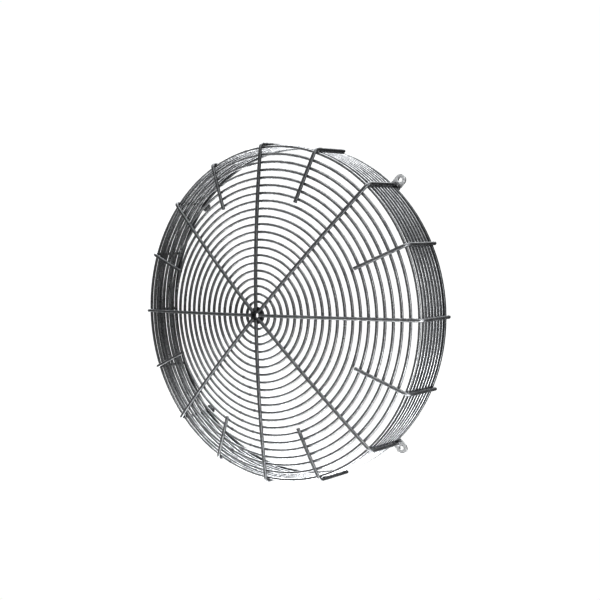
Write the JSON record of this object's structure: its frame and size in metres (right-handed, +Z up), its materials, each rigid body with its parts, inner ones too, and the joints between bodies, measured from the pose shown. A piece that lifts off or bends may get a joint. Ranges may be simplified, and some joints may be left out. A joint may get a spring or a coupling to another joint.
{
  "type": "fan guard",
  "caption": "Round welded wire basket guard for a wall or axial fan: domed face of concentric rings, ringed side wall, radial spokes and flat eyes at the rim to bolt through.",
  "frame": {"origin": "centre of the bolt circle of the four mounting eyes, in the plane of their back faces", "axes": "+Y along the fan's axis towards the fan and wall, so the domed face looks towards -Y; +Z up"},
  "size_m": [0.763, 0.1365, 0.763],
  "materials": {
    "ring_wire": "hot-dip galvanised, dull grey zinc with faint spangle",
    "frame_wire": "hot-dip galvanised, dull grey zinc, darker than the rings",
    "flat_steel": "hot-dip galvanised plate, light grey zinc"
  },
  "bodies": {
    "root": {"corner_ring": "ring_wire", "face_ring_01": "ring_wire", "face_ring_02": "ring_wire", "face_ring_03": "ring_wire", "face_ring_04": "ring_wire", "face_ring_05": "ring_wire", "face_ring_06": "ring_wire", "face_ring_07": "ring_wire", "face_ring_08": "ring_wire", "face_ring_09": "ring_wire", "face_ring_10": "ring_wire", "face_ring_11": "ring_wire", "face_ring_12": "ring_wire", "face_ring_13": "ring_wire", "face_ring_14": "ring_wire", "face_ring_15": "ring_wire", "face_ring_16": "ring_wire", "face_ring_17": "ring_wire", "face_ring_18": "ring_wire", "face_ring_19": "ring_wire", "face_ring_20": "ring_wire", "hub_ring": "flat_steel", "mounting_eye_1": "flat_steel", "mounting_eye_2": "flat_steel", "mounting_eye_3": "flat_steel", "mounting_eye_4": "flat_steel", "rim_ring": "frame_wire", "short_wire_1": "frame_wire", "short_wire_2": "frame_wire", "short_wire_3": "frame_wire", "short_wire_4": "frame_wire", "short_wire_5": "frame_wire", "short_wire_6": "frame_wire", "short_wire_7": "frame_wire", "short_wire_8": "frame_wire", "spoke_1": "frame_wire", "spoke_2": "frame_wire", "spoke_3": "frame_wire", "spoke_4": "frame_wire", "spoke_5": "frame_wire", "spoke_6": "frame_wire", "spoke_7": "frame_wire", "spoke_8": "frame_wire", "wall_ring_1": "ring_wire", "wall_ring_2": "ring_wire", "wall_ring_3": "ring_wire", "wall_ring_4": "ring_wire", "wall_ring_5": "ring_wire", "wall_ring_6": "ring_wire", "wall_ring_7": "ring_wire"}
  },
  "joints": []
}
